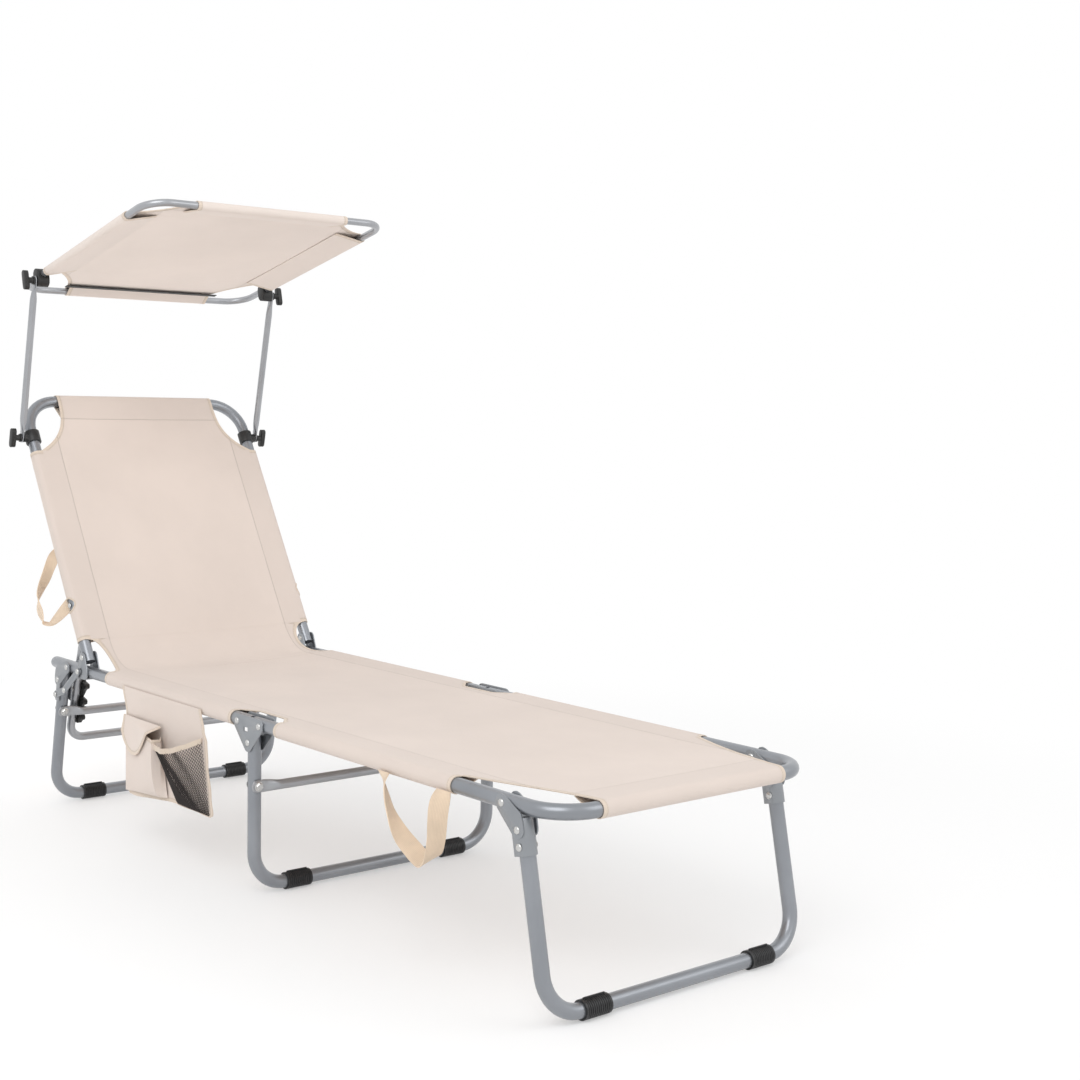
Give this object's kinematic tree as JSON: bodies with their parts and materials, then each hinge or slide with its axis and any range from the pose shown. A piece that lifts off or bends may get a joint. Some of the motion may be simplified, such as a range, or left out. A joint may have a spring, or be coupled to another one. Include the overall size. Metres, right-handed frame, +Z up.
{
  "type": "sun lounger with canopy",
  "caption": "Folding sun lounger of bent tube with stretched fabric, a backrest reclining on a ratchet bar, folding legs, side pocket, carrying straps and a tilting canopy.",
  "frame": {"origin": "middle of the underside of the bounding box, on the floor", "axes": "+X from the head to the feet, +Y to the sitter's left, +Z up"},
  "size_m": [1.663, 0.6076, 1.1417],
  "materials": {
    "frame_grey": "satin silver-grey",
    "thin_tube_grey": "satin silver-grey",
    "black_plastic": "matt moulded",
    "black_rubber": "matt ribbed",
    "cream_cloth": "fine plain weave",
    "webbing": "woven strap",
    "black_net": "open net"
  },
  "bodies": {
    "seat": {"seat_rail_right": "frame_grey", "seat_rail_left": "frame_grey", "backrest_bracket_right": "frame_grey", "backrest_bracket_left": "frame_grey", "seat_sling": "cream_cloth", "pocket_panel": "cream_cloth", "flap_pouch": "cream_cloth", "pouch_flap": "cream_cloth", "net_pouch": "black_net"},
    "backrest": {"backrest_tube": "frame_grey", "backrest_sling": "cream_cloth", "backrest_handle": "webbing", "arm_clamp_right": "black_plastic", "arm_clamp_left": "black_plastic"},
    "ratchet": {"ratchet_bar": "thin_tube_grey", "ratchet_rack_right": "black_plastic", "ratchet_rack_left": "black_plastic"},
    "canopy_arms": {"canopy_arm_right": "thin_tube_grey", "canopy_arm_left": "thin_tube_grey"},
    "canopy": {"canopy_frame": "thin_tube_grey", "canopy_cloth": "cream_cloth", "canopy_clamp_right": "black_plastic", "canopy_clamp_left": "black_plastic"},
    "knob_lower_right": {"lower_knob_right": "black_plastic"},
    "knob_lower_left": {"lower_knob_left": "black_plastic"},
    "knob_upper_right": {"upper_knob_right": "black_plastic"},
    "knob_upper_left": {"upper_knob_left": "black_plastic"},
    "rear_leg": {"rear_leg_tube": "frame_grey", "rear_leg_bracket_right": "frame_grey", "rear_leg_bracket_left": "frame_grey", "rear_cross_tube": "thin_tube_grey", "rear_foot_pad_right": "black_rubber", "rear_foot_pad_left": "black_rubber"},
    "upper_brace": {"brace_upper_right": "frame_grey", "brace_upper_left": "frame_grey"},
    "lower_brace": {"brace_lower_right": "frame_grey", "brace_lower_left": "frame_grey"},
    "mid_leg": {"mid_leg_tube": "frame_grey", "mid_bracket_right": "frame_grey", "mid_bracket_left": "frame_grey", "mid_cross_tube": "thin_tube_grey", "hinge_sling": "cream_cloth", "mid_foot_pad_right": "black_rubber", "mid_foot_pad_left": "black_rubber"},
    "foot_section": {"foot_frame_tube": "frame_grey", "foot_sling": "cream_cloth", "foot_handle": "webbing"},
    "front_leg": {"front_leg_tube": "frame_grey", "front_leg_bracket_right": "frame_grey", "front_leg_bracket_left": "frame_grey", "front_foot_pad_right": "black_rubber", "front_foot_pad_left": "black_rubber"}
  },
  "joints": [
    {"name": "backrest_recline", "type": "hinge", "parent": "seat", "child": "backrest", "pos_m": [-0.52835, 0.02005, 0.309], "axis": [0, 1, 0], "range_deg": [-58.6, 0]},
    {"name": "ratchet_swing", "type": "hinge", "parent": "backrest", "child": "ratchet", "pos_m": [-0.58461, 0.02005, 0.40118], "axis": [0, 1, 0], "range_deg": [0, 58.6]},
    {"name": "canopy_arm_tilt", "type": "hinge", "parent": "backrest", "child": "canopy_arms", "pos_m": [-0.7753, 0.02005, 0.71358], "axis": [0, 1, 0], "range_deg": [-45, 30]},
    {"name": "canopy_tilt", "type": "hinge", "parent": "canopy_arms", "child": "canopy", "pos_m": [-0.70926, 0.02005, 1.01647], "axis": [0, 1, 0], "range_deg": [-60, 45]},
    {"name": "lower_knob_right_turn", "type": "hinge", "parent": "backrest", "child": "knob_lower_right", "pos_m": [-0.7753, -0.24325, 0.71358], "axis": [0, 1, 0], "range_deg": [-180, 180]},
    {"name": "lower_knob_left_turn", "type": "hinge", "parent": "backrest", "child": "knob_lower_left", "pos_m": [-0.7753, 0.28335, 0.71358], "axis": [0, 1, 0], "range_deg": [-180, 180]},
    {"name": "upper_knob_right_turn", "type": "hinge", "parent": "canopy", "child": "knob_upper_right", "pos_m": [-0.70926, -0.24325, 1.01647], "axis": [0, 1, 0], "range_deg": [-180, 180]},
    {"name": "upper_knob_left_turn", "type": "hinge", "parent": "canopy", "child": "knob_upper_left", "pos_m": [-0.70926, 0.28335, 1.01647], "axis": [0, 1, 0], "range_deg": [-180, 180]},
    {"name": "rear_leg_fold", "type": "hinge", "parent": "seat", "child": "rear_leg", "pos_m": [-0.59635, 0.02005, 0.282], "axis": [0, -1, 0], "range_deg": [0, 100.7]},
    {"name": "upper_brace_swing", "type": "hinge", "parent": "seat", "child": "upper_brace", "pos_m": [-0.53735, 0.02005, 0.282], "axis": [0, -1, 0], "range_deg": [0, 94.2]},
    {"name": "lower_brace_swing", "type": "hinge", "parent": "rear_leg", "child": "lower_brace", "pos_m": [-0.64201, 0.02005, 0.22346], "axis": [0, 1, 0], "range_deg": [0, 148]},
    {"name": "mid_leg_fold", "type": "hinge", "parent": "seat", "child": "mid_leg", "pos_m": [0.04365, 0.02005, 0.282], "axis": [0, -1, 0], "range_deg": [-88, 0]},
    {"name": "foot_section_fold", "type": "hinge", "parent": "mid_leg", "child": "foot_section", "pos_m": [0.10965, 0.02005, 0.282], "axis": [0, 1, 0], "range_deg": [0, 87]},
    {"name": "front_leg_fold", "type": "hinge", "parent": "foot_section", "child": "front_leg", "pos_m": [0.71815, 0.02005, 0.282], "axis": [0, 1, 0], "range_deg": [0, 102]}
  ],
  "couplings": [
    {"joint": "ratchet_swing", "follows": "backrest_recline", "ratio": -1},
    {"joint": "upper_brace_swing", "follows": "rear_leg_fold", "ratio": 0.9334},
    {"joint": "lower_brace_swing", "follows": "rear_leg_fold", "ratio": 1.4673}
  ]
}
